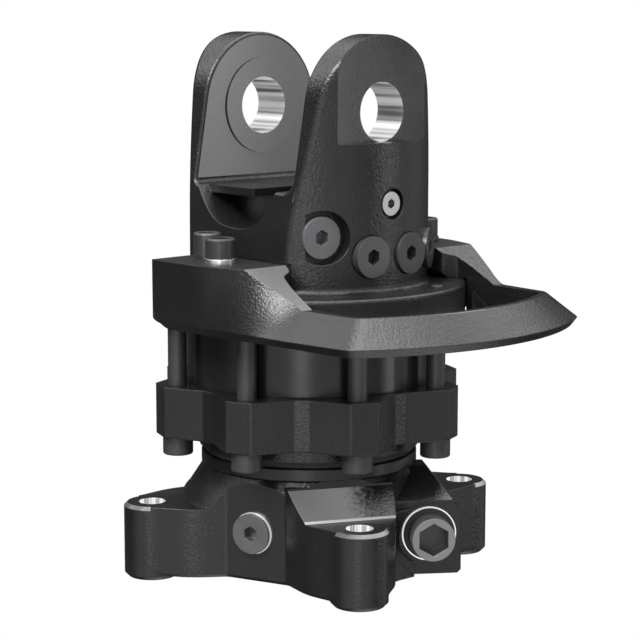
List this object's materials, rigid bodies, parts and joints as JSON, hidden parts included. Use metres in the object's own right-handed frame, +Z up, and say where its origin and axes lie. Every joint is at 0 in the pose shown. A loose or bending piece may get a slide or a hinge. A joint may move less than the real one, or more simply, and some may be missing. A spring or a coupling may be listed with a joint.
{
  "type": "hydraulic rotator",
  "caption": "Hydraulic grapple rotator with a forked top casting, a hose guard hoop, a bolted vane motor body and a lower bracket with bolting lugs that turns endlessly.",
  "frame": {"origin": "on the axis of rotation, in the plane of the four lug faces that sit on the tool below", "axes": "+Z up along the axis of rotation; X along the link pin of the fork, +X towards the hose guard hoop and the port plugs; Y across the fork"},
  "size_m": [0.3342, 0.2636, 0.4015],
  "materials": {
    "bright_steel": "zinc plated and machined",
    "bronze": "bearing bronze",
    "cast_black": "satin black coating over a cast surface",
    "plug_steel": "phosphated steel",
    "screw_black": "black oxide",
    "seal_black": "matt rubber",
    "seal_ptfe": "filled plastic",
    "turned_steel": "ground steel"
  },
  "bodies": {
    "stator": {"dowel_pins": "turned_steel", "ear_bushes": "bright_steel", "flange_plug": "plug_steel", "gable_screws": "screw_black", "guard_screws": "screw_black", "guard_spacers": "screw_black", "guard_washers": "bright_steel", "hose_guard": "cast_black", "lower_bearing": "bronze", "lower_gable": "cast_black", "lower_shaft_seal": "seal_black", "port_plug_seals": "seal_black", "port_plugs": "plug_steel", "stator_ring": "cast_black", "thrust_washer": "bronze", "top_casting": "cast_black", "upper_bearing": "bronze", "valve_plug": "bright_steel", "valve_plug_seal": "seal_black", "wiper_seal": "seal_black"},
    "rotor": {"rotor_shaft": "turned_steel", "vanes": "turned_steel", "swivel_seals": "seal_ptfe", "rotor_flange": "cast_black", "flange_screws": "screw_black", "lower_bracket": "cast_black", "bracket_screws": "screw_black", "bracket_plugs": "plug_steel", "bracket_plug_seals": "bright_steel", "valve_fittings": "plug_steel", "fitting_seals": "bright_steel"}
  },
  "joints": [
    {"name": "rotation", "type": "hinge", "parent": "stator", "child": "rotor", "pos_m": [0, 0, 0.1], "axis": [0, 0, 1], "continuous": true}
  ]
}
